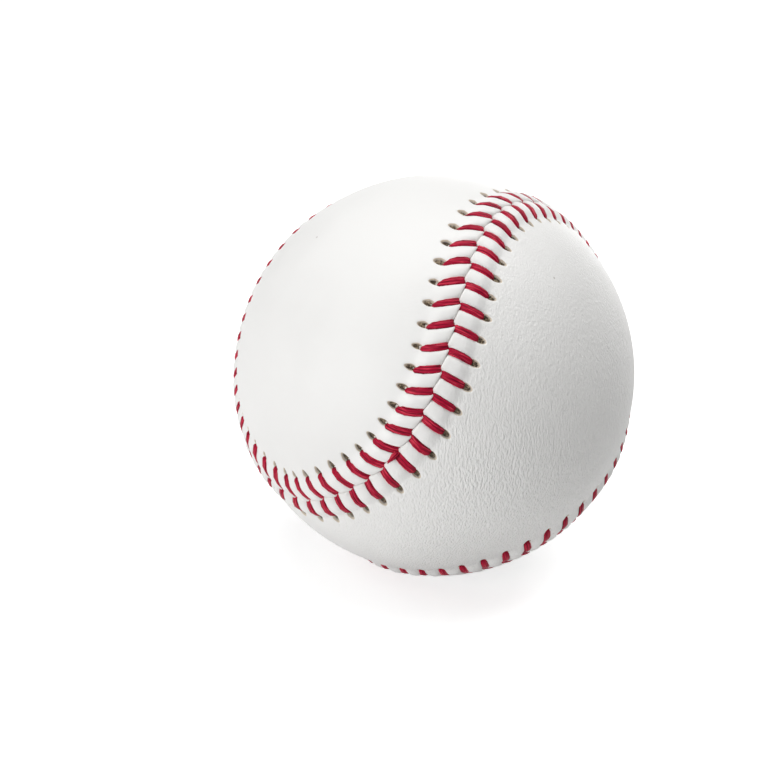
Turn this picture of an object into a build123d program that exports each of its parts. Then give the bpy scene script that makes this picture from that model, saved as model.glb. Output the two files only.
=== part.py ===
from build123d import *
import os
from math import cos, pi, radians, sin

# A nine inch baseball, piece by piece from the cork in its middle to the sewn leather outside.
# Millimetres, +Z up, origin at the centre of the ball.

# Layers, from the leather inwards
BALL_GIRTH = 228.6           # round the smooth leather, nine inches
LEATHER = 1.3
CEMENT = 0.15
FINISH_WINDING = 0.6         # fine cotton and polyester yarn
THIRD_WINDING = 2.2          # grey wool yarn
SECOND_WINDING = 1.8         # white wool yarn
OUTER_RUBBER = 2.4           # jacket round the pill
INNER_RUBBER = 4.0           # two half shells
WASHER = 1.6                 # ring between the half shells
CORK_DIAMETER = 20.6

# Course of the seam
NECK_WIDTH = 28.0            # narrowest waist of a panel, seam to seam
SEAM_SWAY = 23.2             # degrees that the lobes swing aside
SEAM_LIE = (141.7, -28.0, 128.9)  # degrees, how the seam lies on the ball as it stands
SEAM_POINTS = 48
SEAM_SECTORS = 12

# Raised seam, measured across it and up from the smooth leather
SEAM_GAP = 0.7
GROOVE_DEPTH = 0.2
RIDGE_RISE = 0.62
RIDGE_CREST = 1.7
RIDGE_REACH = 4.2
RIDGE_SINK = 0.12            # the foot of the ridge runs on under the surface
MARGIN_REACH = 5.9           # thinned margin of the leather, with room for the thread under it
MARGIN_THICKNESS = 0.55
CUTTER_SPARE = 0.5           # cutters run this far past the lining

# Stitches and thread
STITCH_COUNT = 108
STITCH_PHASE = 0.4           # where the first pair of holes lies, in stitches
HOLE_REACH = 4.75
HOLE_DIAMETER = 1.4
THREAD_WIDTH = 1.4           # pressed flat on the leather
THREAD_SHOULDER = 1.15       # narrower where it turns down into a hole
THREAD_NECK = 1.0            # drawn together in the holes and in the seam
THREAD_THICKNESS = 0.5
THREAD_CLEARANCE = 0.05
LEAN_A = 1.75                # how far along the seam a stitch of each panel leans from its hole
LEAN_B = 0.6
EXIT_SETBACK = 0.6           # from the near edge of a hole to the middle of the thread in it
SHOULDER_SETBACK = 0.2       # from the same edge to where the thread turns down into the hole
DIVE_REACH = 0.18            # where the thread tips over into the seam
DIVE_HEIGHT = 0.45
SNUG = 1.1                   # room for the thread along the leather, as a share of its lift
EASY = 1.3                   # the same where the leather bulges

ball_radius = BALL_GIRTH / (2 * pi)
lining_radius = ball_radius - LEATHER
cement_radius = lining_radius - CEMENT
finish_radius = cement_radius - FINISH_WINDING
third_radius = finish_radius - THIRD_WINDING
second_radius = third_radius - SECOND_WINDING
cork_radius = CORK_DIAMETER / 2
half_shell_radius = cork_radius + INNER_RUBBER
pill_radius = half_shell_radius + OUTER_RUBBER


# Pill and windings

with BuildPart() as cork_core:
    Sphere(cork_radius)

with BuildPart() as inner_shell_upper:
    Sphere(half_shell_radius)
    Sphere(cork_radius, mode=Mode.SUBTRACT)
    split(bisect_by=Plane.XY.offset(WASHER / 2), keep=Keep.TOP)

with BuildPart() as inner_shell_lower:
    Sphere(half_shell_radius)
    Sphere(cork_radius, mode=Mode.SUBTRACT)
    split(bisect_by=Plane.XY.offset(-WASHER / 2), keep=Keep.BOTTOM)

with BuildPart() as shell_washer:
    Sphere(half_shell_radius)
    Sphere(cork_radius, mode=Mode.SUBTRACT)
    split(bisect_by=Plane.XY.offset(WASHER / 2), keep=Keep.BOTTOM)
    split(bisect_by=Plane.XY.offset(-WASHER / 2), keep=Keep.TOP)


def layer(outer_radius, inner_radius):
    with BuildPart() as shell:
        Sphere(outer_radius)
        Sphere(inner_radius, mode=Mode.SUBTRACT)
    return shell


rubber_jacket = layer(pill_radius, half_shell_radius)
first_winding = layer(second_radius, pill_radius)
second_winding = layer(third_radius, second_radius)
third_winding = layer(finish_radius, third_radius)
finish_winding = layer(cement_radius, finish_radius)
cement_coat = layer(lining_radius, cement_radius)


# Course of the seam: one closed curve that crosses the ball's belt four times

neck_angle = NECK_WIDTH / (2 * ball_radius)
seam_frame = Plane(Location((0, 0, 0), SEAM_LIE))


def seam_point(turn):
    polar = pi / 2 - (pi / 2 - neck_angle) * cos(turn)
    azimuth = turn / 2 + radians(SEAM_SWAY) * sin(2 * turn)
    direction = Vector(sin(polar) * cos(azimuth), sin(polar) * sin(azimuth), cos(polar))
    return seam_frame.from_local_coords(direction * ball_radius)


seam = Spline(*[seam_point(4 * pi * i / SEAM_POINTS) for i in range(SEAM_POINTS)], periodic=True)


def seam_plane(share, across=0.0, height=0.0):
    """Plane on the leather: x along the seam, z outwards, panel B on the positive side across."""
    radial = (seam @ (share % 1)).normalized()
    tangent = seam % (share % 1)
    angle = across / ball_radius
    outward = radial * cos(angle) + radial.cross(tangent) * sin(angle)
    return Plane(origin=outward * (ball_radius + height), x_dir=tangent, z_dir=outward)


def seam_line(across, height):
    """Closed line beside the seam, cut into sectors."""
    points = [seam_plane(i / SEAM_POINTS, across, height).origin for i in range(SEAM_POINTS)]
    line = Spline(*points, periodic=True)
    return [line.trim(i / SEAM_SECTORS, (i + 1) / SEAM_SECTORS) for i in range(SEAM_SECTORS)]


def seam_ring(*section):
    """Solid ring along the seam with a section of straight sides, given as (across, height)."""
    lines = [seam_line(*corner) for corner in section]
    faces = []
    for near, far in zip(lines, lines[1:] + lines[:1]):
        faces += [Face.make_surface_from_curves(*pair) for pair in zip(near, far)]
    return Solid(Shell(faces))


# Cover: two figure-eight panels with a raised seam, a thinned margin and a row of holes each

margin_level = -MARGIN_THICKNESS
cutter_depth = LEATHER + CUTTER_SPARE


def ridge_height(across):
    if across < RIDGE_CREST:
        return (RIDGE_RISE + GROOVE_DEPTH) * sin(pi / 2 * across / RIDGE_CREST) - GROOVE_DEPTH
    fall = 1 - cos(pi / 2 * (across - RIDGE_CREST) / (RIDGE_REACH - RIDGE_CREST))
    return RIDGE_RISE - (RIDGE_RISE + RIDGE_SINK) * fall


ridge_middle = (RIDGE_CREST + RIDGE_REACH) / 2
ridge_steps = [RIDGE_CREST / 2, RIDGE_CREST, ridge_middle, RIDGE_REACH]
ridge_side = [(across, ridge_height(across)) for across in ridge_steps]
ridge_foot = (RIDGE_REACH, -LEATHER / 2)
half_ridge = [*ridge_side, ridge_foot]
ridge = seam_ring(
    (0, ridge_height(0)),
    *half_ridge,
    *[(-across, height) for across, height in reversed(half_ridge)],
)

margin_steps = [MARGIN_REACH, MARGIN_REACH / 3, -MARGIN_REACH / 3, -MARGIN_REACH]
margin = seam_ring(
    *[(across, margin_level) for across in margin_steps],
    (-MARGIN_REACH, -cutter_depth),
    (MARGIN_REACH, -cutter_depth),
)

half_gap = SEAM_GAP / 2
gap = seam_ring(
    (half_gap, 2 * RIDGE_RISE),
    (half_gap, -cutter_depth),
    (-half_gap, -cutter_depth),
    (-half_gap, 2 * RIDGE_RISE),
)

# The poles of the leather's two spheres lie where the seam crosses the belt, so the gap cuts them out
belt_crossing = Plane(origin=(0, 0, 0), z_dir=seam_point(pi / 2))

with BuildPart() as cover:
    with Locations(belt_crossing.location):
        Sphere(ball_radius)
        Sphere(lining_radius, mode=Mode.SUBTRACT)
    add(ridge)
    add(margin, mode=Mode.SUBTRACT)
    add(gap, mode=Mode.SUBTRACT)


def hole_share(stitch):
    return (stitch + STITCH_PHASE) / STITCH_COUNT


def cover_panel(side):
    waist = seam_plane(0, side * NECK_WIDTH / 2).origin
    holes = [seam_plane(hole_share(i), side * HOLE_REACH).location for i in range(STITCH_COUNT)]
    with BuildPart() as panel:
        add(cover.solids().sort_by_distance(waist)[0])
        with Locations(*holes):
            Cylinder(HOLE_DIAMETER / 2, 2 * LEATHER, mode=Mode.SUBTRACT)
    return panel


cover_panel_a = cover_panel(-1)
cover_panel_b = cover_panel(1)


# Thread: sewn with two needles. Each run comes up through a hole, lies over its own panel, dives
# into the seam, passes under the other panel and comes up through the next hole there.

thread_half = THREAD_THICKNESS / 2
lift = thread_half + THREAD_CLEARANCE
hole_edge = HOLE_REACH - HOLE_DIAMETER / 2
hole_exit = hole_edge + EXIT_SETBACK
shoulder = hole_edge + SHOULDER_SETBACK
under_level = margin_level - SNUG * lift
tight = thread_half / 2
lip = RIDGE_CREST / 2

# Stations of a stitch: distance across from the seam, height, heading in degrees, width
OVER_LEATHER = [
    (hole_exit, margin_level / 2, 90, THREAD_NECK),
    (shoulder, SNUG * lift, 135, THREAD_SHOULDER),
    (ridge_middle, ridge_height(ridge_middle) + EASY * lift, 165, THREAD_WIDTH),
    (RIDGE_CREST, RIDGE_RISE + SNUG * lift, 180, THREAD_WIDTH),
    (lip, ridge_height(lip) + EASY * lift, 205, THREAD_WIDTH),
    (DIVE_REACH, DIVE_HEIGHT, 240, THREAD_NECK),
    (0, margin_level / 3, 270, THREAD_NECK),
]
UNDER_LEATHER = [
    (tight, under_level, -35, THREAD_NECK),
    (hole_exit - tight, under_level, 35, THREAD_NECK),
]


def thread_section(share, side, station):
    across, height, heading, width = station
    spot = seam_plane(share, side * across, height)
    outward = spot.z_dir.cross(spot.x_dir) * side
    direction = outward * cos(radians(heading)) + spot.z_dir * sin(radians(heading))
    with BuildSketch(Plane(origin=spot.origin, x_dir=spot.x_dir, z_dir=direction)) as section:
        Ellipse(width / 2, thread_half)
    return section.sketch.face()


def thread_stretch(seam_share, end_share, side, stations):
    """Sections from station to station, moving along the seam as they move across it."""
    sections = []
    for station in stations:
        share = seam_share + (end_share - seam_share) * station[0] / hole_exit
        sections.append(thread_section(share, side, station))
    return sections


def sewn_thread(first_side):
    sections = []
    side = first_side
    for stitch in range(STITCH_COUNT, 0, -1):
        lean = LEAN_A if side < 0 else LEAN_B
        dive = hole_share(stitch) - lean / seam.length
        sections += thread_stretch(dive, hole_share(stitch), side, OVER_LEATHER)
        sections += thread_stretch(dive, hole_share(stitch - 1), -side, UNDER_LEATHER)
        side = -side
    # The last section lies below the first hole, so the thread starts and ends under the leather
    sections.insert(0, sections.pop())
    outlines = [section.edge() for section in sections]
    skin = [Face.make_surface_from_curves(*pair) for pair in zip(outlines, outlines[1:])]
    with BuildPart() as thread:
        add(Solid(Shell([sections[0], *skin, sections[-1]])))
    return thread


thread_first = sewn_thread(-1)
thread_second = sewn_thread(1)


# One file for each piece

pieces = {
    "cork_core": cork_core,
    "inner_shell_upper": inner_shell_upper,
    "inner_shell_lower": inner_shell_lower,
    "shell_washer": shell_washer,
    "rubber_jacket": rubber_jacket,
    "first_winding": first_winding,
    "second_winding": second_winding,
    "third_winding": third_winding,
    "finish_winding": finish_winding,
    "cement_coat": cement_coat,
    "cover_panel_a": cover_panel_a,
    "cover_panel_b": cover_panel_b,
    "thread_first": thread_first,
    "thread_second": thread_second,
}

os.makedirs("parts", exist_ok=True)
for name, piece in pieces.items():
    piece.part.label = name
    export_step(piece.part, f"parts/{name}.step")
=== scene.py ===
from math import cos, pi, radians, sin, sqrt, tan

import bmesh
import bpy
import numpy as np
from mathutils import Matrix, Vector


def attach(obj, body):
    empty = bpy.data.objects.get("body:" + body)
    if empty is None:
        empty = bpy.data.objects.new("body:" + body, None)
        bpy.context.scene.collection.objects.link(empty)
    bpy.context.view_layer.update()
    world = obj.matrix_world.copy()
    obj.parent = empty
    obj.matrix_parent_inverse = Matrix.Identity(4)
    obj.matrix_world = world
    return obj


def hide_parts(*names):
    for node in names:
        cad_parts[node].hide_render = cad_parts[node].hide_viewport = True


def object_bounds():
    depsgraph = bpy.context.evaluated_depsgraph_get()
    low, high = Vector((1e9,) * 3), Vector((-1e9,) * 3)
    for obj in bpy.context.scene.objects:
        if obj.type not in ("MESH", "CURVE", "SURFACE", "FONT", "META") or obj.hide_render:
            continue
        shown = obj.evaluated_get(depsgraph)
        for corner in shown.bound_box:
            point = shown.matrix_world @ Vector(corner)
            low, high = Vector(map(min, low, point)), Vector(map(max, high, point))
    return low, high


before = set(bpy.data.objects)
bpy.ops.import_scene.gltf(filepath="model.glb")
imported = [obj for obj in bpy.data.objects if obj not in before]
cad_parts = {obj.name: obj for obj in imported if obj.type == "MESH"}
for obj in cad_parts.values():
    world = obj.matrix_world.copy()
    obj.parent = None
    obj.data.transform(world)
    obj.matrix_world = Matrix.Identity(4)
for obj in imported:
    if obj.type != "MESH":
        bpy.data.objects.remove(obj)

bl_info = {
    "name": "Sewn Baseball",
    "version": (1, 0, 0),
    "blender": (4, 5, 0),
    "location": "3D View > Sidebar > Baseball",
    "description": "Leather cover, red thread and studio for a baseball",
    "category": "Object",
}

MM = 0.001
CAD_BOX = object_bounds()
BODY = "root"
PANEL_A = -1
PANEL_B = 1
WHITE = (1.0, 1.0, 1.0, 1.0)
BLACK = (0.0, 0.0, 0.0, 1.0)


# Settings

class SeamSettings(bpy.types.PropertyGroup):
    girth: bpy.props.FloatProperty(
        name="Girth", description="Round the smooth leather", default=0.2286, unit="LENGTH")
    neck: bpy.props.FloatProperty(
        name="Waist", description="Narrowest waist of a panel, seam to seam", default=0.028, unit="LENGTH")
    sway: bpy.props.FloatProperty(
        name="Sway", description="How far the lobes swing aside", default=radians(23.2), subtype="ANGLE")
    lie: bpy.props.FloatVectorProperty(
        name="Lie", description="How the seam lies on the ball, turned about X, its own Y and its own Z",
        default=(radians(141.7), radians(-28.0), radians(128.9)), subtype="EULER")
    stitches: bpy.props.IntProperty(
        name="Stitches", description="Stitches round the whole seam", default=108)
    phase: bpy.props.FloatProperty(
        name="First hole", description="Place of the first pair of holes, in stitches", default=0.4)
    lean_a: bpy.props.FloatProperty(
        name="Lean A", description="How far a stitch of the first panel leans along the seam",
        default=0.00175, unit="LENGTH")
    lean_b: bpy.props.FloatProperty(
        name="Lean B", description="How far a stitch of the second panel leans along the seam",
        default=0.0006, unit="LENGTH")


class LeatherSettings(bpy.types.PropertyGroup):
    thickness: bpy.props.FloatProperty(
        name="Thickness", description="Leather away from the seam", default=0.0013, unit="LENGTH")
    margin: bpy.props.FloatProperty(
        name="Margin", description="Thinned leather along the seam", default=0.0006, unit="LENGTH")
    rise: bpy.props.FloatProperty(
        name="Rise", description="Height of the raised seam at a stitch", default=0.00056, unit="LENGTH")
    crest: bpy.props.FloatProperty(
        name="Crest", description="From the seam to the top of its ridge", default=0.0017, unit="LENGTH")
    shoulder: bpy.props.FloatProperty(
        name="Shoulder", description="From the seam to where its ridge starts to fall", default=0.0022,
        unit="LENGTH")
    reach: bpy.props.FloatProperty(
        name="Reach", description="From the seam to the foot of its ridge", default=0.0043, unit="LENGTH")
    swell: bpy.props.FloatProperty(
        name="Swell", description="How much the leather swells between two stitches", default=0.00027,
        unit="LENGTH")
    press: bpy.props.FloatProperty(
        name="Press", description="How deep a stitch is drawn into the leather", default=0.00022,
        unit="LENGTH")
    hole_a: bpy.props.FloatProperty(
        name="Holes A", description="From the seam to the holes of the first panel", default=0.0048,
        unit="LENGTH")
    hole_b: bpy.props.FloatProperty(
        name="Holes B", description="From the seam to the holes of the second panel", default=0.00465,
        unit="LENGTH")
    hole_length: bpy.props.FloatProperty(
        name="Hole length", description="Length of a hole, across the seam", default=0.00185, unit="LENGTH")
    hole_width: bpy.props.FloatProperty(
        name="Hole width", description="Width of a hole, along the seam", default=0.00112, unit="LENGTH")
    colour: bpy.props.FloatVectorProperty(
        name="Leather", description="Colour of the leather", default=(0.86, 0.855, 0.84), subtype="COLOR")
    raw_colour: bpy.props.FloatVectorProperty(
        name="Raw edge", description="Colour of the leather where it is cut", default=(0.56, 0.45, 0.31),
        subtype="COLOR")
    # Dark fibres inside the holes together with painted shade: the near-black stands in for the shade down
    # in each hole
    hole_fibre_and_shade_colour: bpy.props.FloatVectorProperty(
        name="Hole", description="Colour inside the holes", default=(0.062, 0.044, 0.028), subtype="COLOR")


class ThreadSettings(bpy.types.PropertyGroup):
    width: bpy.props.FloatProperty(
        name="Width", description="Width of the thread, pressed flat", default=0.0015, unit="LENGTH")
    neck: bpy.props.FloatProperty(
        name="Neck", description="Width where the thread is drawn together", default=0.00095, unit="LENGTH")
    thickness: bpy.props.FloatProperty(
        name="Thickness", description="Thickness of the thread", default=0.00056, unit="LENGTH")
    colour: bpy.props.FloatVectorProperty(
        name="Thread", description="Colour of the waxed thread", default=(0.44, 0.005, 0.036),
        subtype="COLOR")
    # Painted shade between the strands and where the thread goes into a hole or the seam; the dark streaks
    # take this colour too
    dark_streak_and_shade_colour: bpy.props.FloatVectorProperty(
        name="Grooves", description="Colour between the strands", default=(0.13, 0.001, 0.012),
        subtype="COLOR")
    # Paler fibres: partly worn fibres, partly a painted highlight on the thread
    worn_and_highlight_colour: bpy.props.FloatVectorProperty(
        name="Worn fibres", description="Colour of the paler fibres", default=(0.82, 0.08, 0.12),
        subtype="COLOR")


class StageSettings(bpy.types.PropertyGroup):
    elevation: bpy.props.FloatProperty(
        name="Elevation", description="Height of the camera over the ball", default=radians(20.0),
        subtype="ANGLE")
    distance: bpy.props.FloatProperty(
        name="Distance", description="From the camera to the middle of the ball", default=0.2312,
        unit="LENGTH")
    lens: bpy.props.FloatProperty(
        name="Lens", description="Focal length on a 36 mm sensor", default=58.45)
    shift_x: bpy.props.FloatProperty(
        name="Shift across", description="Lens shift to the side, in picture widths", default=-0.0675)
    shift_y: bpy.props.FloatProperty(
        name="Shift up", description="Lens shift upwards, in picture widths", default=-0.0142)
    side: bpy.props.FloatProperty(
        name="Side light", description="Strength of the soft light at the left", default=4.65, unit="POWER")
    top: bpy.props.FloatProperty(
        name="Top light", description="Strength of the soft light overhead", default=3.4, unit="POWER")
    back: bpy.props.FloatProperty(
        name="Back light", description="Strength of the soft light high behind the ball", default=3.2,
        unit="POWER")
    rear: bpy.props.FloatProperty(
        name="Rear light", description="Strength of the soft light low behind the ball", default=1.8,
        unit="POWER")
    fill: bpy.props.FloatProperty(
        name="Fill light", description="Strength of the room's light", default=0.04)


# Course of the seam

class SeamCourse:
    """The closed seam on the ball, by the distance along it."""

    SAMPLES = 8640

    def __init__(self, settings):
        self.radius = settings.girth / (2 * pi)
        self.stitches = settings.stitches
        self.phase = settings.phase
        self.lean = {PANEL_A: settings.lean_a, PANEL_B: settings.lean_b}
        x, y, z = settings.lie
        turn = Matrix.Rotation(x, 3, "X") @ Matrix.Rotation(y, 3, "Y") @ Matrix.Rotation(z, 3, "Z")
        self.turned = np.array(turn)
        self.neck_angle = settings.neck / (2 * self.radius)
        self.sway = settings.sway
        self.turns = np.linspace(0, 4 * pi, self.SAMPLES + 1)
        steps = np.linalg.norm(np.diff(self.direction(self.turns), axis=0), axis=1)
        self.lengths = np.concatenate([[0], np.cumsum(steps)]) * self.radius
        self.length = self.lengths[-1]
        self.pitch = self.length / self.stitches

    def direction(self, turns):
        polar = pi / 2 - (pi / 2 - self.neck_angle) * np.cos(turns)
        azimuth = turns / 2 + self.sway * np.sin(2 * turns)
        level = np.sin(polar)
        local = np.stack([level * np.cos(azimuth), level * np.sin(azimuth), np.cos(polar)], -1)
        return local @ self.turned.T

    def axes(self, along):
        """Outward, along the seam and across it towards the second panel."""
        turns = np.interp(np.mod(along, self.length), self.lengths, self.turns)
        step = 4 * pi / self.SAMPLES
        outward = self.direction(turns)
        tangent = self.direction(turns + step) - self.direction(turns - step)
        tangent /= np.linalg.norm(tangent, axis=-1, keepdims=True)
        return outward, tangent, np.cross(outward, tangent)

    def place(self, along, across, height):
        """Points at a distance along and across the seam, and a height over the smooth leather."""
        outward, _, aside = self.axes(along)
        angle = (np.asarray(across) / self.radius)[..., None]
        distance = (self.radius + np.asarray(height))[..., None]
        return (outward * np.cos(angle) + aside * np.sin(angle)) * distance

    def hole_along(self, stitch):
        return (stitch + self.phase) * self.pitch


def smooth(low, high, value):
    share = np.clip((value - low) / (high - low), 0, 1)
    return share * share * (3 - 2 * share)


def extrude_ring(mesh, ring):
    """Extrudes a ring of edges, and gives the new vertices and the new ring."""
    made = bmesh.ops.extrude_edge_only(mesh, edges=ring)["geom"]
    verts = [part for part in made if isinstance(part, bmesh.types.BMVert)]
    fresh = set(verts)
    edges = [part for part in made if isinstance(part, bmesh.types.BMEdge)]
    return verts, [edge for edge in edges if all(vert in fresh for vert in edge.verts)]


# Leather cover

class PanelShape:
    """Where each point of a leather panel lies, by its column along the seam and its row across it."""

    # Columns of one stitch, in half hole widths from the middle of the thread
    INNER_COLUMNS = (0, 0.42, 0.74, 1.0, 1.25, 1.7, 2.4)
    # Rows of a hole, in half hole lengths from its middle
    HOLE_ROWS = (1.75, 1.3, 1.0, 0.74, 0.42, 0.0, -0.42, -0.74, -1.0, -1.3)
    # Levels round a hole, from 0 in its middle: its rim, the foot of its wall, the last ring that follows
    # it, the swollen leather and its width, and any point away from a hole
    RIM = 1.0
    WALL_FOOT = 0.74
    RING_REACH = 1.75
    LIFT_LEVEL = 1.3
    LIFT_WIDTH = 0.3
    NO_HOLE = 9.0
    ROUNDING = 1e-4
    OUTER_ROWS = (10.0 * MM, 8.4 * MM, 7.3 * MM)
    RIDGE_ROWS = (3.2 * MM, 2.75 * MM, 2.3 * MM, 1.9 * MM, 1.5 * MM, 1.15 * MM, 0.85 * MM)
    LIP_ROWS = (0.52 * MM, 0.32 * MM, 0.18 * MM, 0.08 * MM, 0.02 * MM, 0.0)
    LIP_REACH = 0.55 * MM
    LIP_DROP = 0.3 * MM
    WALL_ROWS = ((0.0, 0.55), (0.06 * MM, 1.0))
    UNDER_ROWS = (2.6 * MM, 5.9 * MM)
    THICK_ROWS = (6.4 * MM, 10.0 * MM)
    HOLE_DEPTH = 0.46 * MM
    RIM_DIP = 0.05 * MM
    RIM_LIFT = 0.05 * MM
    # How much narrower a hole is at its outer end
    HOLE_TAPER = 0.3
    # Where the swell between two stitches fades out
    SWELL_FADE = (3.3 * MM, 4.9 * MM)
    # Half the groove that a stitch presses, its roundness, and how far before the hole it ends
    GROOVE_HALF = 0.945 * MM
    GROOVE_ROUND = 0.6
    GROOVE_END = 0.4 * MM
    # From the middle of a hole to where the thread comes up in it
    THREAD_SETBACK = {PANEL_A: 0.85 * MM, PANEL_B: 0.5 * MM}
    # How far the columns keep leaning, in reaches of the thread
    LEAN_END = {PANEL_A: 1.0, PANEL_B: 1.4}
    # How far a stitch is drawn along the seam where it dives, towards the other stitch of its pair
    DRAW = {PANEL_A: 0.25 * MM, PANEL_B: -0.1 * MM}
    # How far a stitch bows along the seam between its hole and the seam
    BOW = {PANEL_A: 0.3 * MM, PANEL_B: 0.0}
    # The second panel swells over the middle of the seam before each stitch and is drawn back behind it
    CREASE_SWELL = 0.26 * MM
    CREASE_BACK = 0.28 * MM
    CREASE_TURN = 0.85 * MM
    CREASE_GAP = 0.015 * MM
    # Height of the pillows at the seam, in heights of the ridge, and how much deeper a stitch lies there
    VALLEY = 0.82
    SEAM_PULL = 1.5
    PULL_REACH = 1.7 * MM
    # No two stitches of hand sewing are alike: how much each of these shares varies
    SEED = 11
    UNEVEN = (("swell", 0.16), ("press", 0.14), ("edge", 0.16), ("hole", 0.08))

    def __init__(self, course, leather, side):
        self.course = course
        self.leather = leather
        self.side = side
        self.hole_reach = leather.hole_a if side == PANEL_A else leather.hole_b
        self.thread_reach = self.hole_reach - self.THREAD_SETBACK[side]
        self.half_length = leather.hole_length / 2
        self.half_width = leather.hole_width / 2
        one_side = [share * self.half_width for share in self.INNER_COLUMNS[1:]]
        offsets = [-offset for offset in reversed(one_side)] + [0.0] + one_side + [course.pitch / 2]
        self.per_stitch = len(offsets)
        self.offsets = np.tile(offsets, course.stitches)
        holes = np.array([course.hole_along(stitch) for stitch in range(course.stitches)])
        self.holes = np.repeat(holes, self.per_stitch)
        self.columns = len(self.offsets)
        rng = np.random.default_rng(self.SEED + side)
        self.jitter = {
            name: np.repeat(rng.normal(0, spread, course.stitches), self.per_stitch)
            for name, spread in self.UNEVEN
        }

    def hole_rows(self):
        return [self.hole_reach + share * self.half_length for share in self.HOLE_ROWS]

    def lean(self, across):
        """Place along the seam of the stitch at a distance from it, from the stitch's hole."""
        share = np.minimum(across / self.thread_reach, self.LEAN_END[self.side]) - 1
        inward = np.clip(-share, 0, None)
        bow = self.BOW[self.side] * 4 * inward * (1 - inward)
        return self.course.lean[self.side] * share + self.DRAW[self.side] * inward ** 3 + bow

    def seam_step(self):
        """From a stitch of the first panel to its pair on the second, where both dive."""
        lean = self.course.lean
        return lean[PANEL_A] - lean[PANEL_B] + self.DRAW[PANEL_B] - self.DRAW[PANEL_A]

    def edge(self):
        """Distance of the panel's edge from the middle of the seam."""
        pitch = self.course.pitch
        start = 0.0 if self.side == PANEL_A else self.seam_step()
        behind = np.mod(self.offsets + start, pitch)
        drawn_back = smooth(0, self.CREASE_TURN, behind)
        swelling = (pitch - behind) / (pitch - self.CREASE_TURN)
        share = np.where(behind < self.CREASE_TURN, drawn_back, swelling)
        crease = (self.CREASE_SWELL + self.CREASE_BACK) * share - self.CREASE_SWELL
        return self.side * crease + self.CREASE_GAP * (1 + self.jitter["edge"])

    def ridge(self, across):
        leather = self.leather
        rising = np.sin(pi / 2 * np.clip(across / leather.crest, 0, 1))
        falling = np.clip((across - leather.shoulder) / (leather.reach - leather.shoulder), 0, 1)
        foot = 0.5 + 0.5 * np.cos(pi * falling)
        slope = self.VALLEY + (1 - self.VALLEY) * rising
        return leather.rise * np.where(across < leather.crest, slope, foot)

    def stitch_depth(self, across):
        """How deep a stitch lies in the leather: deepest at the seam, where it is pulled in."""
        return self.leather.press * (1 + self.SEAM_PULL * (1 - smooth(0, self.PULL_REACH, across)))

    def surface(self, across, offsets):
        """Height of the leather's face over the smooth ball."""
        leather = self.leather
        between = 0.5 - 0.5 * np.cos(2 * pi * offsets / self.course.pitch)
        swelling = between * (1 - smooth(*self.SWELL_FADE, across))
        swell = leather.swell * (1 + self.jitter["swell"]) * swelling
        groove = np.clip(1 - np.abs(offsets) / self.GROOVE_HALF, 0, 1) ** self.GROOVE_ROUND
        pressed = groove * (1 - smooth(self.hole_reach - self.GROOVE_END, self.hole_reach, across))
        press = self.stitch_depth(across) * (1 + self.jitter["press"]) * pressed
        return self.ridge(across) + swell - press

    def hole_place(self, across):
        """Squares of the grid become rings round the hole, which narrows outwards."""
        p = (across - self.hole_reach) / self.half_length
        q = self.offsets / self.half_width
        level = np.maximum(np.abs(p), np.abs(q))
        scale = np.maximum(level, self.RIM)
        unit_p, unit_q = p / scale, q / scale
        round_p = unit_p * np.sqrt(1 - unit_q ** 2 / 2) * scale
        round_q = unit_q * np.sqrt(1 - unit_p ** 2 / 2) * scale
        taper = 1 - self.HOLE_TAPER * np.clip(round_p, 0, 1)
        near = 1 - smooth(self.RIM, self.RING_REACH, level)
        size = 1 + self.jitter["hole"] * near
        placed_p = (p + (round_p - p) * near) * size
        placed_q = (q + (round_q * taper - q) * near) * size
        return level, placed_p * self.half_length + self.hole_reach, placed_q * self.half_width

    def top_row(self, across):
        """A row on the face of the leather, away from the edge."""
        across = np.full(self.columns, across)
        level, placed, offsets = self.hole_place(across)
        height = self.surface(placed, offsets)
        depth = 1 - smooth(self.WALL_FOOT, self.RIM, level)
        around = np.exp(-((level - self.LIFT_LEVEL) / self.LIFT_WIDTH) ** 2)
        height = height + self.RIM_LIFT * around - self.RIM_DIP * (level <= self.RIM + self.ROUNDING)
        height = height - (self.HOLE_DEPTH - self.RIM_DIP) * depth
        return placed, offsets, height, level

    def lip_row(self, inset):
        """A row of the rounded lip, by its distance from the panel's edge."""
        across = self.edge() + inset
        share = min(inset / self.LIP_REACH, 1)
        drop = self.LIP_DROP * (1 - sqrt(1 - (1 - share) ** 2))
        height = self.surface(across, self.offsets) - drop
        return across, self.offsets, height, np.full(self.columns, self.NO_HOLE)

    def wall_row(self, inset, share):
        """A row of the cut edge, from the lip down to the underside."""
        across, offsets, top, level = self.lip_row(0.0)
        return across + inset, offsets, top + (-self.leather.margin - top) * share, level

    def flat_row(self, across, depth):
        """A row of the underside."""
        across, height, level = (np.full(self.columns, value) for value in (across, -depth, self.NO_HOLE))
        return across, self.offsets, height, level

    def rows(self):
        """Every row from the middle of the face to the seam, down its wall and back along the underside."""
        made = [self.top_row(across) for across in self.OUTER_ROWS]
        made += [self.top_row(across) for across in self.hole_rows()]
        made += [self.top_row(across) for across in self.RIDGE_ROWS]
        made += [self.lip_row(inset) for inset in self.LIP_ROWS]
        made += [self.wall_row(*spot) for spot in self.WALL_ROWS]
        made += [self.flat_row(across, self.leather.margin) for across in self.UNDER_ROWS]
        made += [self.flat_row(across, self.leather.thickness) for across in self.THICK_ROWS]
        return made

    def points(self, row):
        across, offsets, height, _ = row
        along = self.holes + self.lean(across) + offsets
        return self.course.place(along, self.side * across, height)


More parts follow.
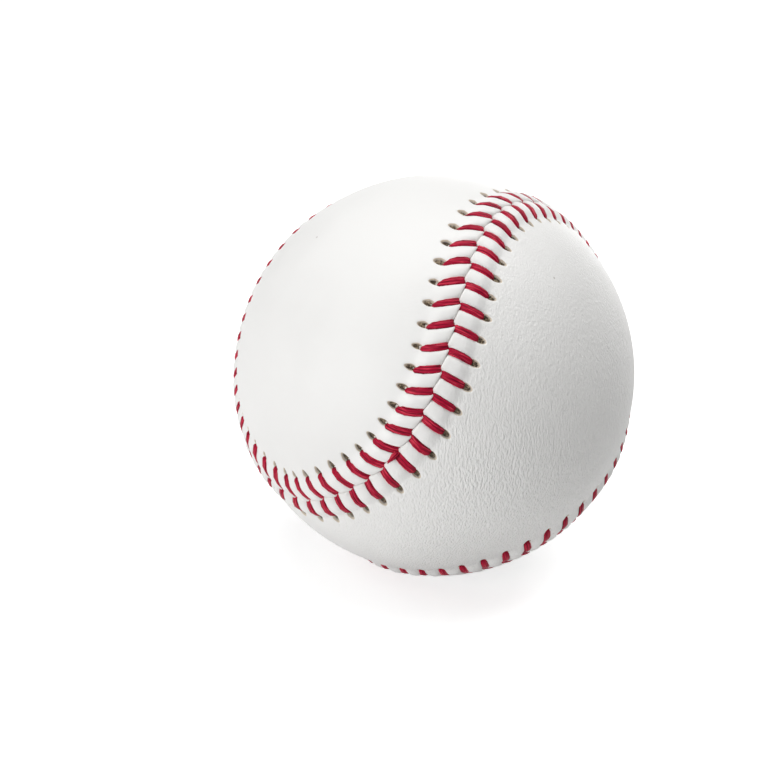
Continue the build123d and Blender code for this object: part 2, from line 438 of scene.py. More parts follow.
class LeatherPanel:
    """Mesh of one panel: rows extruded from a circle, then the two flanks bridged across its middle."""

    TOP_CUTS = 25
    UNDER_CUTS = 11
    # Most sides of the gaps that the bridges leave at the tips of the lobes
    TIP_SIDES = 8
    # Distance from the seam in millimetres, as the finish reads it, in the middle of the face
    MIDDLE = 12.0

    def __init__(self, shape):
        self.shape = shape
        self.mesh = bmesh.new()
        self.column = self.mesh.verts.layers.int.new("column")
        self.hole = self.mesh.verts.layers.float.new("hole")
        self.across = self.mesh.verts.layers.float.new("across")
        self.cut = self.mesh.verts.layers.float.new("cut")

    def set_row(self, verts, row, cut):
        points = self.shape.points(row)
        across, _, _, level = row
        for vert in verts:
            index = vert[self.column]
            vert.co = points[index]
            vert[self.hole] = float(level[index])
            vert[self.across] = float(across[index]) / MM
            vert[self.cut] = cut

    def tip(self):
        """Column at the tip of a lobe, where one flank of the panel turns into the other."""
        course = self.shape.course
        turn = pi if self.shape.side * self.waist_side() > 0 else 0.0
        along = np.interp(turn, course.turns, course.lengths)
        place = self.shape.holes + self.shape.offsets + self.shape.lean(np.zeros(self.shape.columns))
        half = course.length / 2
        return int(np.argmin(np.abs(np.mod(place - along + half, course.length) - half)))

    def waist_side(self):
        """The side of the seam on which the panel's waist lies where the seam starts."""
        course = self.shape.course
        _, _, aside = course.axes(np.zeros(1))
        pole = course.turned @ np.array([0.0, 0.0, 1.0])
        return 1 if float(aside[0] @ pole) > 0 else -1

    def fill(self, ring_edges, cuts, radius):
        """Bridges the flanks of a ring of edges and lays the bridge on the ball."""
        columns = self.shape.columns
        first = self.tip()
        half = columns // 2
        # The edge at the tip of each lobe is left out, so that two open flanks remain
        flanks = []
        for edge in ring_edges:
            low, high = (vert[self.column] for vert in edge.verts)
            start = low if (high - low) % columns == 1 else high
            if (start - first) % half != half - 1:
                flanks.append(edge)
        bridge = bmesh.ops.bridge_loops(self.mesh, edges=flanks)
        rim = set(ring_edges)
        crossing = [edge for edge in bridge["edges"] if edge not in rim]
        split = bmesh.ops.subdivide_edges(self.mesh, edges=crossing, cuts=cuts, use_grid_fill=True)
        for vert in split["geom_inner"]:
            if isinstance(vert, bmesh.types.BMVert):
                vert.co = vert.co.normalized() * radius
                vert[self.hole] = self.shape.NO_HOLE
                vert[self.across] = self.MIDDLE

    def build(self):
        shape = self.shape
        rows = shape.rows()
        face = (shape.OUTER_ROWS, shape.HOLE_ROWS, shape.RIDGE_ROWS, shape.LIP_ROWS)
        face_rows = sum(map(len, face))
        circle = bmesh.ops.create_circle(self.mesh, segments=shape.columns, radius=shape.course.radius)
        verts = circle["verts"]
        for index, vert in enumerate(verts):
            vert[self.column] = index
        self.set_row(verts, rows[0], 0.0)
        top_ring = list(self.mesh.edges)
        ring = top_ring
        for number, row in enumerate(rows[1:], 1):
            verts, ring = extrude_ring(self.mesh, ring)
            self.set_row(verts, row, float(number >= face_rows))
        radius = shape.course.radius
        self.fill(top_ring, self.TOP_CUTS, radius)
        self.fill(ring, self.UNDER_CUTS, radius - shape.leather.thickness)
        gaps = [edge for edge in self.mesh.edges if edge.is_boundary]
        bmesh.ops.holes_fill(self.mesh, edges=gaps, sides=self.TIP_SIDES)
        bmesh.ops.recalc_face_normals(self.mesh, faces=self.mesh.faces)
        return self.mesh


# Thread

class SewnThread:
    """Mesh of one run of thread, which goes over one panel and under the other, stitch by stitch."""

    # Section, from one edge over the top to the other and back below: across, up
    SECTION = (
        (-1.0, -0.1), (-0.72, 0.74), (0.0, 1.0), (0.72, 0.74), (1.0, -0.1), (0.5, -0.8), (-0.5, -0.8),
    )
    # Corners that the section is shifted by where the thread goes from over one panel to under the other
    HALF_TURN = 4
    # Stations over the leather: share of the way from the seam to the hole, height in thicknesses,
    # heading in degrees, share of the full width
    OVER = (
        (1.0, -1.5, 95, 0.0), (0.975, -0.4, 112, 0.7), (0.88, 0.02, 152, 0.98), (0.6, 0.10, 171, 1.0),
        (0.3, 0.14, 186, 1.0), (0.1, 0.14, 208, 1.0), (0.02, -0.5, 255, 0.7),
    )
    # How far the section is turned aside at each of those stations, in degrees
    SLANT = {PANEL_A: (25, 25, 20, 4, 0, -18, -20), PANEL_B: (0, 0, 0, 0, 0, 0, 0)}
    # How full the stitches of each panel are
    FULL = {PANEL_A: 1.1, PANEL_B: 1.0}
    # How high the middle of the thread lies in its groove, in thicknesses
    LIFT = 0.2
    # How much the middle of a stitch sways along the seam, and how much its width varies
    SEED = 5
    SWAY = 0.08 * MM
    UNEVEN = 0.06
    # Stations under the other panel: share of the way to its hole, heading in degrees
    UNDER = ((0.06, -35), (0.94, 35))
    UNDER_DEPTH = 0.92 * MM
    # One stitch is loose, and its thread lies in the crease: distance along it in stitches, distance from
    # the seam, height and width
    LOOSE_STITCH = 102
    LOOSE = (
        (0.28, 0.1 * MM, 0.5 * MM, 0.45 * MM), (0.6, 0.1 * MM, 0.7 * MM, 0.95 * MM),
        (0.86, 0.05 * MM, 0.66 * MM, 1.05 * MM), (0.95, 0.0, -0.7 * MM, 0.8 * MM),
    )
    # Heading towards the seam, and the turn of the section that runs along it
    INWARD = 180
    ALONG = 90

    def __init__(self, course, shapes, thread, first_side):
        self.course = course
        self.shapes = shapes
        self.thread = thread
        self.first_side = first_side
        self.mesh = bmesh.new()
        self.corner = self.mesh.verts.layers.int.new("corner")
        self.lane = self.mesh.verts.layers.float.new("lane")
        self.run = self.mesh.verts.layers.float.new("run")
        self.shown = self.mesh.verts.layers.float.new("shown")

    def station(self, along, side, across, height, heading, width, shown, slant=0, turn=0):
        """A section of the thread. A heading of 0 degrees is away from the seam, and 90 is up."""
        outward, tangent, aside = self.course.axes(np.array([along]))
        angle = side * across / self.course.radius
        up = outward[0] * cos(angle) + aside[0] * sin(angle)
        away = np.cross(up, tangent[0]) * side
        ahead = away * cos(radians(heading)) + up * sin(radians(heading))
        over = np.cross(tangent[0], ahead)
        # The section's upper face keeps to one side of the thread on both panels
        if over @ (up * -cos(radians(heading)) + away * sin(radians(heading))) < 0:
            over = -over
        # The section runs round the thread the same way on both panels
        level = tangent[0] * cos(radians(turn)) + away * (tan(radians(slant)) - sin(radians(turn)))
        return {
            "middle": up * (self.course.radius + height), "over": over, "aside": level * side,
            "width": width, "shown": shown, "turned": False,
        }

    def over_leather(self, stitch, side, rng):
        """Stations of a stitch from its hole to the seam."""
        thread, shape = self.thread, self.shapes[side]
        hole = self.course.hole_along(stitch)
        sway = rng.normal(0, self.SWAY)
        plump = self.FULL[side] * (1 + rng.normal(0, self.UNEVEN))
        made = []
        for (share, rise, heading, spread), slant in zip(self.OVER, self.SLANT[side]):
            across = share * shape.thread_reach
            along = hole + float(shape.lean(across)) + sway * sin(pi * share)
            base = float(shape.ridge(np.array([across]))[0]) - float(shape.stitch_depth(across))
            height = base + (rise + self.LIFT) * thread.thickness
            width = (thread.neck + (thread.width - thread.neck) * spread) * plump
            made.append(self.station(along, side, across, height, heading, width, spread, slant))
        return made

    def in_crease(self, dive, side):
        """Stations of the loose stitch, from where it dives."""
        made = []
        for share, across, height, width in self.LOOSE:
            along = dive - share * self.course.pitch
            made.append(self.station(along, side, across, height, self.INWARD, width, 1.0, turn=self.ALONG))
        return made

    def under_leather(self, dive, landing, side, spots):
        """Stations under a panel, from the seam to the panel's hole."""
        made = []
        for share, heading in spots:
            along = dive + (landing - dive) * share
            across = share * self.shapes[side].thread_reach
            made.append(
                self.station(along, side, across, -self.UNDER_DEPTH, heading, self.thread.neck, 0.0))
        made[0]["turned"] = True
        return made

    def stations(self):
        """Every station of the run, stitch by stitch."""
        course = self.course
        rng = np.random.default_rng(self.SEED + self.first_side)
        made = []
        side = self.first_side
        for stitch in range(course.stitches, 0, -1):
            made += self.over_leather(stitch, side, rng)
            dive = course.hole_along(stitch) + float(self.shapes[side].lean(0.0))
            below = self.UNDER
            if side == PANEL_A and stitch == self.LOOSE_STITCH:
                made += self.in_crease(dive, side)
                below = self.UNDER[1:]
            made += self.under_leather(dive, course.hole_along(stitch - 1), -side, below)
            side = -side
        # The last station leads to the first hole
        made.insert(0, made.pop())
        return made

    def set_ring(self, verts, spot, run):
        half = spot["width"] / 2
        thick = self.thread.thickness / 2
        for vert in verts:
            if spot["turned"]:
                vert[self.corner] = (vert[self.corner] + self.HALF_TURN) % len(self.SECTION)
            x, y = self.SECTION[vert[self.corner]]
            vert.co = spot["middle"] + spot["aside"] * (x * half) + spot["over"] * (y * thick)
            vert[self.lane] = x
            vert[self.run] = run
            vert[self.shown] = spot["shown"]

    def build(self):
        spots = self.stations()
        circle = bmesh.ops.create_circle(
            self.mesh, segments=len(self.SECTION), radius=self.thread.width / 2, cap_ends=True)
        verts = circle["verts"]
        for index, vert in enumerate(verts):
            vert[self.corner] = index
        run = 0.0
        self.set_ring(verts, spots[0], run)
        ring = list(self.mesh.edges)
        for before, spot in zip(spots, spots[1:]):
            run += float(np.linalg.norm(spot["middle"] - before["middle"])) / MM
            verts, ring = extrude_ring(self.mesh, ring)
            self.set_ring(verts, spot, run)
        bmesh.ops.holes_fill(self.mesh, edges=ring, sides=len(self.SECTION))
        bmesh.ops.recalc_face_normals(self.mesh, faces=self.mesh.faces)
        return self.mesh


# Shader maths

class Shade:
    """A socket that can be added, multiplied and compared like a number."""

    def __init__(self, nodes, socket):
        self.nodes = nodes
        self.socket = socket

    def _math(self, operation, first, second=0.0):
        return self.nodes.node("ShaderNodeMath", {"operation": operation}, {0: first, 1: second})

    def __add__(self, other):
        return self._math("ADD", self, other)

    def __radd__(self, other):
        return self._math("ADD", other, self)

    def __sub__(self, other):
        return self._math("SUBTRACT", self, other)

    def __rsub__(self, other):
        return self._math("SUBTRACT", other, self)

    def __mul__(self, other):
        return self._math("MULTIPLY", self, other)

    def __rmul__(self, other):
        return self._math("MULTIPLY", other, self)

    def sine(self):
        return self._math("SINE", self)

    def most(self, other):
        return self._math("MAXIMUM", self, other)

    def step(self, low, high):
        """Smooth step from 0 at low to 1 at high."""
        settings = {"interpolation_type": "SMOOTHSTEP"}
        return self.nodes.node(
            "ShaderNodeMapRange", settings, {"Value": self, "From Min": low, "From Max": high})

    def between(self, low, high):
        """From low at 0 to high at 1."""
        return low + (high - low) * self


class Nodes:
    """A tree of shader nodes."""

    def __init__(self, tree):
        self.tree = tree

    def node(self, kind, settings, inputs, output=0):
        made = self.tree.nodes.new(kind)
        for name, value in settings.items():
            setattr(made, name, value)
        for key, value in inputs.items():
            self.feed(made.inputs[key], value)
        return Shade(self, made.outputs[output])

    def feed(self, socket, value):
        if isinstance(value, Shade):
            self.tree.links.new(value.socket, socket)
        else:
            socket.default_value = value


class Finish(Nodes):
    """A procedural material."""

    SOCKETS = {
        "colour": "Base Color", "rough": "Roughness", "normal": "Normal", "specular": "Specular IOR Level",
        "glow": "Emission Color", "glow_strength": "Emission Strength",
    }

    def __init__(self, name):
        self.material = bpy.data.materials.new(name)
        self.material.use_nodes = True
        super().__init__(self.material.node_tree)
        self.surface = self.tree.nodes["Principled BSDF"]

    def place(self):
        return self.node("ShaderNodeTexCoord", {}, {}, "Object")

    def attribute(self, name):
        return self.node("ShaderNodeAttribute", {"attribute_name": name}, {}, "Fac")

    def noise(self, scale, detail=2.0, rough=0.5, vector=None):
        inputs = {"Scale": scale, "Detail": detail, "Roughness": rough}
        inputs["Vector"] = vector if vector is not None else self.place()
        return self.node("ShaderNodeTexNoise", {}, inputs, "Fac")

    def cells(self, scale, feature="F1", output="Distance"):
        inputs = {"Scale": scale, "Vector": self.place()}
        return self.node("ShaderNodeTexVoronoi", {"feature": feature}, inputs, output)

    def blend(self, share, first, second):
        inputs = {0: share, 6: first, 7: second}
        return self.node("ShaderNodeMix", {"data_type": "RGBA"}, inputs, 2)

    def vector(self, x, y, z):
        return self.node("ShaderNodeCombineXYZ", {}, {"X": x, "Y": y, "Z": z})

    def axis(self, letter, vector):
        return self.node("ShaderNodeSeparateXYZ", {}, {"Vector": vector}, letter)

    def turned(self, turn, stretch=(1.0, 1.0, 1.0)):
        """The place on the piece, on turned and stretched axes."""
        inputs = {"Vector": self.place(), "Scale": stretch, "Rotation": turn}
        return self.node("ShaderNodeMapping", {}, inputs)

    def relief(self, height, strength, distance):
        inputs = {"Height": height, "Strength": strength, "Distance": distance}
        return self.node("ShaderNodeBump", {}, inputs)

    def set(self, **sockets):
        for name, value in sockets.items():
            self.feed(self.surface.inputs[self.SOCKETS[name]], value)
        return self.material


def opaque(colour):
    return (*colour, 1.0)


class LeatherFinish(Finish):
    """Off-white full-grain leather: wrinkles that run one way, sparse specks, raw edges, dark holes deepened
    with painted shade, and painted shade along the seam's crease.
    """

    # Sizes of the patterns, to the metre
    PEBBLES = 1700
    FINE_GRAIN = 3200
    CLOUDS = 38
    SPECKS = 230
    SPECK_PATCHES = 90
    FLUFF = 2100
    SCUFFS = 1500
    # Levels round a hole, from 0 in its middle to 1 at its rim
    IN_HOLE = (0.66, 1.0)
    RIM_INSIDE = (0.7, 0.95)
    RIM_OUTSIDE = (1.0, 1.16)
    # Distances from the seam, in millimetres
    OPEN_FACE = (3.0, 5.2)
    RIDGE_START = (1.2, 2.4)
    RIDGE_END = (3.6, 5.0)
    CREASE = (0.3, 1.1)
    # Heights on the ball between which the grain gets weaker, the scuffs end and the painted shade in the
    # holes gets lighter
    GRAIN_HEIGHT = (-0.02, 0.03)
    SCUFF_HEIGHT = (-0.02, 0.005)
    HOLE_SHADE_HEIGHT = (0.0, 0.022)
    # Places from left to right between which the grain gets stronger
    GRAIN_BREADTH = (-0.02, 0.008)
    # Strength of the grain: at the seam and on the face, low and high on the ball, at the left and the right
    SEAM_TO_FACE = (0.3, 1.0)
    LOW_TO_HIGH = (1.8, 0.6)
    LEFT_TO_RIGHT = (0.4, 1.0)
    # Share of the other grains in the wrinkles
    GRAIN_SHARE = 0.25
    # Levels of each pattern between which it shows
    CLOUD_EDGE = (0.35, 0.75)
    SPECK_EDGE = (0.04, 0.075)
    PATCH_EDGE = (0.66, 0.7)
    SCUFF_EDGE = (0.62, 0.72)
    FLUFF_EDGE = (0.42, 0.66)
    # How much of a hole the fluff covers, low and high on the ball: lower down more painted shade shows in
    # the holes
    FLUFF_SHARE = (0.35, 0.95)
    # Roughness of the plain leather, and what the wrinkles and the inside of a hole add
    ROUGH = 0.46
    ROUGH_WRINKLES = 0.1
    ROUGH_HOLES = 0.3
    SPECULAR = 0.4
    # Colours over the leather and how strong they are; the crease shade is painted shade along the seam
    CLOUD_TONE = 0.95
    SPECK = ((0.22, 0.17, 0.12), 0.55)
    CREASE_SHADE = ((0.62, 0.58, 0.53), 0.12)
    SCUFF = ((0.42, 0.40, 0.37), 0.3)
    RAW_RIM = 0.75
    RAW_CUT = 0.3

    def __init__(self, settings, name, stretch, turn, depth):
        super().__init__(name)
        self.settings = settings
        self.across = self.attribute("across")
        self.height = self.axis("Z", self.place())
        self.hole = self.attribute("hole")
        self.in_hole = 1 - self.hole.step(*self.IN_HOLE)
        wrinkles = self.noise(1.0, vector=self.turned(turn, stretch))
        rough = self.ROUGH + self.ROUGH_WRINKLES * wrinkles + self.ROUGH_HOLES * self.in_hole
        normal = self.relief(self.grain(wrinkles), strength=1.0, distance=depth)
        self.set(colour=self.colour(), rough=rough, normal=normal, specular=self.SPECULAR)

    def grain(self, wrinkles):
        """Height of the grain, which is pressed flat along the seam."""
        pebbles = self.cells(self.PEBBLES, "SMOOTH_F1")
        fine = self.noise(self.FINE_GRAIN, detail=3.0, rough=0.6)
        breadth = self.axis("X", self.place())
        open_face = self.across.step(*self.OPEN_FACE).between(*self.SEAM_TO_FACE)
        upward = self.height.step(*self.GRAIN_HEIGHT).between(*self.LOW_TO_HIGH)
        rightward = breadth.step(*self.GRAIN_BREADTH).between(*self.LEFT_TO_RIGHT)
        return (wrinkles + (pebbles + fine) * self.GRAIN_SHARE) * open_face * upward * rightward

    def stain_and_shade(self, colour, share, stain_and_shade):
        """Lays a tint over another colour: specks and scuffs, and the painted shade of the crease."""
        tint, strength = stain_and_shade
        return self.blend(share * strength, colour, opaque(tint))

    def colour(self):
        white = self.settings.colour
        clouds = self.noise(self.CLOUDS, detail=3.0).step(*self.CLOUD_EDGE)
        colour = self.blend(clouds, opaque(white), opaque([level * self.CLOUD_TONE for level in white]))

        patches = self.noise(self.SPECK_PATCHES, detail=1.0).step(*self.PATCH_EDGE)
        specks = (1 - self.cells(self.SPECKS).step(*self.SPECK_EDGE)) * patches
        colour = self.stain_and_shade(colour, specks, self.SPECK)
        # Painted shade: the leather is darkened in the crease along the seam, where shade falls
        colour = self.stain_and_shade(colour, 1 - self.across.step(*self.CREASE), self.CREASE_SHADE)

        raised = self.across.step(*self.RIDGE_START) * (1 - self.across.step(*self.RIDGE_END))
        rubbed = self.noise(self.SCUFFS, rough=0.6).step(*self.SCUFF_EDGE)
        scuffs = rubbed * raised * (1 - self.height.step(*self.SCUFF_HEIGHT))
        colour = self.stain_and_shade(colour, scuffs, self.SCUFF)

        rim = self.hole.step(*self.RIM_INSIDE) * (1 - self.hole.step(*self.RIM_OUTSIDE))
        raw = (rim * self.RAW_RIM).most(self.attribute("cut") * self.RAW_CUT)
        colour = self.blend(raw, colour, opaque(self.settings.raw_colour))
        return self.blend(self.in_hole, colour, self.inside_holes())

    def inside_holes(self):
        """Raw fluff over dark fibres and painted shade, with less fluff and more painted shade lower on the
        ball.
        """
        unshaded_share = self.height.step(*self.HOLE_SHADE_HEIGHT).between(*self.FLUFF_SHARE)
        fluff = self.noise(self.FLUFF, detail=3.0, rough=0.7).step(*self.FLUFF_EDGE) * unshaded_share
        return self.blend(fluff, opaque(self.settings.hole_fibre_and_shade_colour), opaque(self.settings.raw_colour))


class ThreadFinish(Finish):
    """Waxed crimson thread with its strands and their fine twist; painted shade in its grooves and where it
    goes into a hole or the seam, and a painted highlight on its paler fibres.
    """

    # Sizes of the patterns, to the metre
    FIBRES = 2600
    WANDER = 260
    # Waves of the strands and of their twist across half the thread and along a millimetre of it, and how
    # far they wander, in radians
    STRANDS_ACROSS = 9.5
    STRANDS_WANDER = 3.0
    TWIST_ALONG = 7.5
    TWIST_ACROSS = 5.0
    TWIST_WANDER = 4.0
    # Streaks across half the thread and along a millimetre of it
    STREAKS_ACROSS = 3.2
    STREAKS_ALONG = 0.35
    # Where grooves, dark streaks and pale streaks start and end, and how strong they are
    GROOVES = (-1.0, -0.1)
    GROOVE_STRENGTH = 0.6
    DARK_STREAKS = (0.48, 0.7)
    DARK_STRENGTH = 0.85
    # Where grooves, dark streaks and pale streaks start and end, and how strong they are; the grooves are
    # painted shade and the pale streaks partly a painted highlight
    PALE_STREAKS = (0.3, 0.5)
    PALE_STRENGTH = 0.8
    # Shares of the full width between which the thread comes out of a hole or the seam; where it goes in, it
    # is darkened with painted shade
    COMING_OUT = (0.2, 0.95)
    # Heights of the strands, their twist and the fibres, and the relief that they make
    STRAND_HEIGHT = 0.55
    TWIST_HEIGHT = 0.12
    FIBRE_HEIGHT = 0.6
    RELIEF_STRENGTH = 0.35
    RELIEF_DEPTH = 0.12 * MM
    # Roughness of the waxed thread, and what the fibres add
    ROUGH = 0.42
    ROUGH_FIBRES = 0.16
    SPECULAR = 0.1

    def __init__(self, settings):
        super().__init__("crimson_thread")
        lane = self.attribute("lane")
        run = self.attribute("run")
        fibres = self.noise(self.FIBRES, detail=3.0, rough=0.6)
        wander = self.noise(self.WANDER) - 0.5
        strands = (lane * self.STRANDS_ACROSS + wander * self.STRANDS_WANDER).sine()
        twist = (run * self.TWIST_ALONG + lane * self.TWIST_ACROSS + wander * self.TWIST_WANDER).sine()
        drawn_out = self.vector(lane * self.STREAKS_ACROSS, run * self.STREAKS_ALONG, 0.0)
        streaks = self.noise(1.0, rough=0.6, vector=drawn_out)
        # Painted shade in the grooves and where the thread goes in; the pale streaks are partly a painted
        # highlight
        grooves = (1 - strands.step(*self.GROOVES)) * self.GROOVE_STRENGTH
        deep = 1 - self.attribute("shown").step(*self.COMING_OUT)
        dark = (grooves + streaks.step(*self.DARK_STREAKS) * self.DARK_STRENGTH).most(deep)
        pale = (1 - streaks.step(*self.PALE_STREAKS)) * (1 - deep) * self.PALE_STRENGTH
        colour = self.blend(pale, opaque(settings.colour), opaque(settings.worn_and_highlight_colour))
        colour = self.blend(dark, colour, opaque(settings.dark_streak_and_shade_colour))
        height = strands * self.STRAND_HEIGHT + twist * self.TWIST_HEIGHT + fibres * self.FIBRE_HEIGHT
        normal = self.relief(height, self.RELIEF_STRENGTH, self.RELIEF_DEPTH)
        rough = self.ROUGH + self.ROUGH_FIBRES * fibres
        self.set(colour=colour, rough=rough, normal=normal, specular=self.SPECULAR)


def cork_finish():
    """Pressed cork: pale grains with dark seams between them."""
    grains = 420
    brown, tan_brown, dark = (opaque(tone) for tone in (
        (0.36, 0.20, 0.10), (0.58, 0.39, 0.22), (0.12, 0.06, 0.03)))
    finish = Finish("pressed_cork")
    seams = finish.cells(grains, "DISTANCE_TO_EDGE")
    shade = finish.noise(900, detail=3.0)
    tone = finish.node("ShaderNodeRGBToBW", {}, {"Color": finish.cells(grains, "F1", "Color")})
    colour = finish.blend(tone, brown, tan_brown)
    colour = finish.blend((1 - seams.step(0.0, 0.09)) * 0.7, colour, dark)
    normal = finish.relief(seams.step(0.0, 0.2) + 0.4 * shade, strength=0.4, distance=0.2 * MM)
    return finish.set(colour=colour, rough=0.72 + 0.2 * shade, normal=normal)


def rubber_finish(name, colour, dust):
    """Moulded rubber with a faint bloom."""
    finish = Finish(name)
    bloom = finish.noise(160, detail=4.0, rough=0.65)
    mixed = finish.blend(bloom.step(0.45, 0.8) * 0.6, opaque(colour), opaque(dust))
    normal = finish.relief(finish.noise(2200), strength=0.2, distance=0.1 * MM)
    return finish.set(colour=mixed, rough=0.55 + 0.25 * bloom, normal=normal)


def wound_finish(name, colour, dark, yarn):
    """Yarn wound round a ball in crossing layers, by the width of the yarn, with painted shade between its
    turns.
    """
    layers = ((0.5, 0.2, 0.0), (1.7, 0.9, 0.6), (2.6, 2.2, 1.3))
    finish = Finish(name)
    wander = finish.noise(60) * 9.0
    fuzz = finish.noise(2400, detail=3.0, rough=0.65)
    top = None
    for turn in layers:
        wave = (finish.axis("Z", finish.turned(turn)) * (2 * pi / yarn) + wander).sine()
        top = wave if top is None else top.most(wave)
    # Painted shade in the dents between the turns
    dent = 1 - top.step(-0.2, 0.9)
    mixed = finish.blend(dent * 0.8 + 0.2 * fuzz, opaque(colour), opaque(dark))
    normal = finish.relief(top + 0.5 * fuzz, strength=0.6, distance=yarn * 0.3)
    return finish.set(colour=mixed, rough=0.82 + 0.12 * fuzz, normal=normal)


def cement_finish():
    """Dried cement, brushed on and a little yellow."""
    thick, thin = opaque((0.56, 0.46, 0.28)), opaque((0.72, 0.63, 0.45))
    finish = Finish("dried_cement")
    brushed = finish.noise(140, detail=4.0, rough=0.6)
    drops = finish.noise(700)
    colour = finish.blend(brushed.step(0.3, 0.75), thick, thin)
    normal = finish.relief(brushed + 0.3 * drops, strength=0.35, distance=0.2 * MM)
    return finish.set(colour=colour, rough=0.38 + 0.25 * drops, normal=normal)


# Pieces

def add_piece(name, mesh, material, node):
    """Turns a finished bmesh into a piece that stands for a node of the model."""
    data = bpy.data.meshes.new(name)
    mesh.to_mesh(data)
    mesh.free()
    data.shade_smooth()
    data.materials.append(material)
    piece = bpy.data.objects.new(name, data)
    bpy.context.scene.collection.objects.link(piece)
    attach(piece, BODY)
    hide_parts(node)


def dress(node, material):
    """Gives a node of the model its material."""
    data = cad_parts[node].data
    data.materials.clear()
    data.materials.append(material)


def panel_shapes(scene):
    """The course of the seam and the shape of the panel on each side of it."""
    course = SeamCourse(scene.baseball_seam)
    return course, {side: PanelShape(course, scene.baseball_leather, side) for side in (PANEL_A, PANEL_B)}


# Operators

class BASEBALL_OT_cover_panels(bpy.types.Operator):
    """Makes the two leather panels with their raised, stitched edges"""
    bl_idname = "baseball.cover_panels"
    bl_label = "Leather panels"

    # Wrinkles to the metre along each axis, the turn of those axes and the wrinkles' depth
    GRAIN = {
        PANEL_A: ((900, 3200, 3200), (0.0, 0.15, 0.0), 0.035 * MM),
        PANEL_B: ((3200, 3200, 1000), (0.0, 0.25, 0.0), 0.18 * MM),
    }

    def execute(self, context):
        _, shapes = panel_shapes(context.scene)
        for side, letter in ((PANEL_A, "a"), (PANEL_B, "b")):
            finish = LeatherFinish(
                context.scene.baseball_leather, f"white_leather_{letter}", *self.GRAIN[side])
            mesh = LeatherPanel(shapes[side]).build()
            add_piece(f"leather_panel_{letter}", mesh, finish.material, f"cover_panel_{letter}")
        return {"FINISHED"}


class BASEBALL_OT_sewn_threads(bpy.types.Operator):
    """Sews the two runs of red thread"""
    bl_idname = "baseball.sewn_threads"
    bl_label = "Sewn threads"

    def execute(self, context):
        course, shapes = panel_shapes(context.scene)
        settings = context.scene.baseball_thread
        material = ThreadFinish(settings).material
        for side, order in ((PANEL_A, "first"), (PANEL_B, "second")):
            mesh = SewnThread(course, shapes, settings, side).build()
            add_piece(f"red_thread_{order}", mesh, material, f"thread_{order}")
        return {"FINISHED"}


class BASEBALL_OT_pill(bpy.types.Operator):
    """Finishes the cork and rubber in the middle of the ball"""
    bl_idname = "baseball.pill"
    bl_label = "Cork and rubber"

    # Colour of each rubber and of its bloom
    BLACK_RUBBER = ((0.012, 0.012, 0.013), (0.05, 0.05, 0.052))
    RED_RUBBER = ((0.30, 0.025, 0.018), (0.42, 0.12, 0.10))

    def execute(self, context):
        black = rubber_finish("black_rubber", *self.BLACK_RUBBER)
        red = rubber_finish("red_rubber", *self.RED_RUBBER)
        dress("cork_core", cork_finish())
        dress("inner_shell_upper", black)
        dress("inner_shell_lower", black)
        dress("shell_washer", red)
        dress("rubber_jacket", red)
        return {"FINISHED"}


class BASEBALL_OT_windings(bpy.types.Operator):
    """Finishes the yarn windings and the cement on them"""
    bl_idname = "baseball.windings"
    bl_label = "Yarn and cement"

    # Colour of each yarn, the painted shade between its turns, and its width
    GREY_WOOL = ((0.24, 0.25, 0.27), (0.07, 0.07, 0.08), 1.6 * MM)
    WHITE_WOOL = ((0.72, 0.69, 0.62), (0.34, 0.32, 0.28), 1.4 * MM)
    FINISH_YARN = ((0.76, 0.74, 0.69), (0.42, 0.40, 0.36), 0.5 * MM)

    def execute(self, context):
        grey = wound_finish("grey_wool", *self.GREY_WOOL)
        dress("first_winding", grey)
        dress("second_winding", wound_finish("white_wool", *self.WHITE_WOOL))
        dress("third_winding", grey)
        dress("finish_winding", wound_finish("finish_yarn", *self.FINISH_YARN))
        dress("cement_coat", cement_finish())
        return {"FINISHED"}


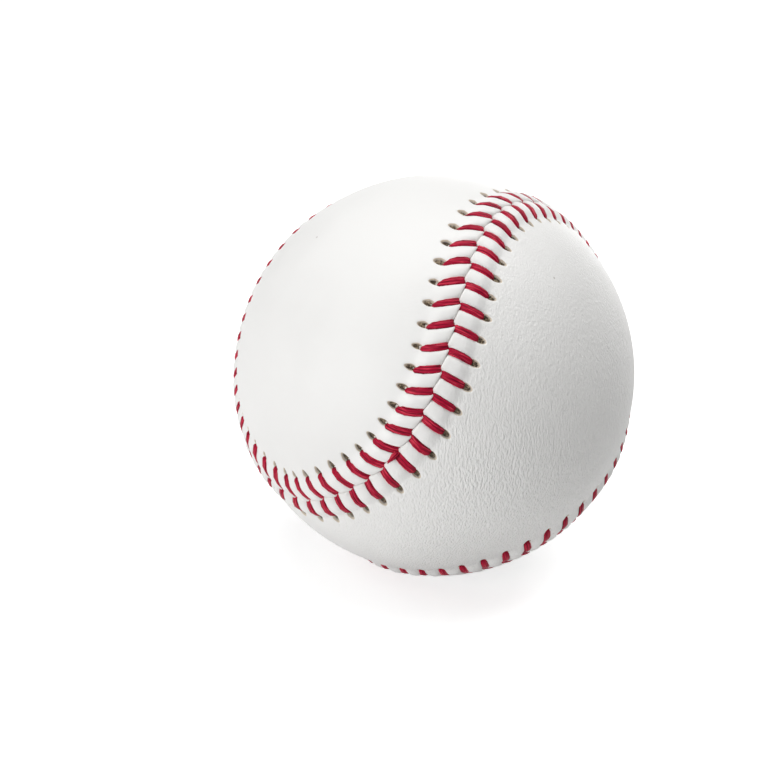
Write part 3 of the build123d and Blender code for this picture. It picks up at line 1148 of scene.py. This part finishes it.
class BASEBALL_OT_stage(bpy.types.Operator):
    """Sets the floor, the light and the camera"""
    bl_idname = "baseball.stage"
    bl_label = "Studio"

    FLOOR_SIZE = 3.0
    FLOOR_COLOUR = (0.76, 0.76, 0.76)
    # Own brightness of the floor near the ball, and from where to where it turns full white
    FLOOR_GLOW = 0.64
    FLOOR_FADE = (0.12, 0.4)
    SIDE_PLACE = (-0.57, -0.57, 0.14)
    TOP_PLACE = (0.0, -0.11, 0.82)
    BACK_PLACE = (0.36, 0.21, 0.71)
    REAR_PLACE = (0.25, 0.78, 0.06)
    LAMP_SIZE = 0.6
    SENSOR = 36.0
    CLIP_START = 0.01

    def execute(self, context):
        settings = context.scene.baseball_stage
        self.floor()
        self.room(context.scene, settings)
        self.lamp("side_light", self.SIDE_PLACE, settings.side)
        self.lamp("top_light", self.TOP_PLACE, settings.top)
        self.lamp("back_light", self.BACK_PLACE, settings.back)
        self.lamp("rear_light", self.REAR_PLACE, settings.rear)
        self.camera(context.scene, settings)
        context.scene.view_settings.view_transform = "Standard"
        return {"FINISHED"}

    def seen(self, nodes):
        """1 for what the camera sees, also in reflections and through clear things."""
        rays = [
            nodes.node("ShaderNodeLightPath", {}, {}, name)
            for name in ("Is Camera Ray", "Is Glossy Ray", "Is Transmission Ray")
        ]
        return rays[0].most(rays[1]).most(rays[2])

    def room(self, scene, settings):
        """Soft light from all round, which looks white itself."""
        world = bpy.data.worlds.new("studio_room")
        scene.world = world
        world.use_nodes = True
        nodes = Nodes(world.node_tree)
        seen = self.seen(nodes)
        strength = seen + (1 - seen) * settings.fill
        light = nodes.node("ShaderNodeBackground", {}, {"Color": WHITE, "Strength": strength})
        nodes.feed(nodes.tree.nodes["World Output"].inputs["Surface"], light)

    def floor(self):
        mesh = bmesh.new()
        bmesh.ops.create_grid(mesh, x_segments=2, y_segments=2, size=self.FLOOR_SIZE)
        bmesh.ops.translate(mesh, verts=mesh.verts, vec=(0, 0, CAD_BOX[0][2]))
        data = bpy.data.meshes.new("studio_floor")
        mesh.to_mesh(data)
        mesh.free()
        finish = Finish("pale_floor")
        distance = finish.node(
            "ShaderNodeVectorMath", {"operation": "LENGTH"}, {0: finish.place()}, "Value")
        glow = self.FLOOR_GLOW + distance.step(*self.FLOOR_FADE) * (1 - self.FLOOR_GLOW)
        glow_colour = finish.blend(self.seen(finish) * glow, BLACK, WHITE)
        material = finish.set(
            colour=opaque(self.FLOOR_COLOUR), rough=0.9, specular=0.1, glow=glow_colour, glow_strength=1.0)
        data.materials.append(material)
        floor = bpy.data.objects.new("studio_floor", data)
        bpy.context.scene.collection.objects.link(floor)

    def lamp(self, name, place, energy):
        """A round soft light that points at the ball."""
        light = bpy.data.lights.new(name, "AREA")
        light.shape = "DISK"
        light.size = self.LAMP_SIZE
        light.energy = energy
        lamp = bpy.data.objects.new(name, light)
        lamp.location = place
        lamp.rotation_euler = (-Vector(place)).to_track_quat("-Z", "Y").to_euler()
        bpy.context.scene.collection.objects.link(lamp)

    def camera(self, scene, settings):
        data = bpy.data.cameras.new("photo_camera")
        data.lens = settings.lens
        data.sensor_width = self.SENSOR
        data.shift_x = settings.shift_x
        data.shift_y = settings.shift_y
        data.clip_start = self.CLIP_START
        camera = bpy.data.objects.new("photo_camera", data)
        elevation = settings.elevation
        camera.location = Vector((0, -cos(elevation), sin(elevation))) * settings.distance
        camera.rotation_euler = (pi / 2 - elevation, 0, 0)
        scene.collection.objects.link(camera)
        scene.camera = camera


class BASEBALL_PT_panel(bpy.types.Panel):
    """Lists the steps that dress the ball"""
    bl_idname = "BASEBALL_PT_panel"
    bl_label = "Baseball"
    bl_space_type = "VIEW_3D"
    bl_region_type = "UI"
    bl_category = "Baseball"

    def draw(self, context):
        for operator in OPERATORS:
            self.layout.operator(operator.bl_idname)


OPERATORS = (
    BASEBALL_OT_cover_panels,
    BASEBALL_OT_sewn_threads,
    BASEBALL_OT_pill,
    BASEBALL_OT_windings,
    BASEBALL_OT_stage,
)
SETTINGS = {
    "baseball_seam": SeamSettings,
    "baseball_leather": LeatherSettings,
    "baseball_thread": ThreadSettings,
    "baseball_stage": StageSettings,
}


def register():
    for group in SETTINGS.values():
        bpy.utils.register_class(group)
    for name, group in SETTINGS.items():
        setattr(bpy.types.Scene, name, bpy.props.PointerProperty(type=group))
    for operator in OPERATORS:
        bpy.utils.register_class(operator)
    bpy.utils.register_class(BASEBALL_PT_panel)


def unregister():
    bpy.utils.unregister_class(BASEBALL_PT_panel)
    for operator in reversed(OPERATORS):
        bpy.utils.unregister_class(operator)
    for name in SETTINGS:
        delattr(bpy.types.Scene, name)
    for group in reversed(SETTINGS.values()):
        bpy.utils.unregister_class(group)


def main():
    register()
    bpy.ops.baseball.cover_panels()
    bpy.ops.baseball.sewn_threads()
    bpy.ops.baseball.pill()
    bpy.ops.baseball.windings()
    bpy.ops.baseball.stage()


if __name__ == "__main__":
    main()
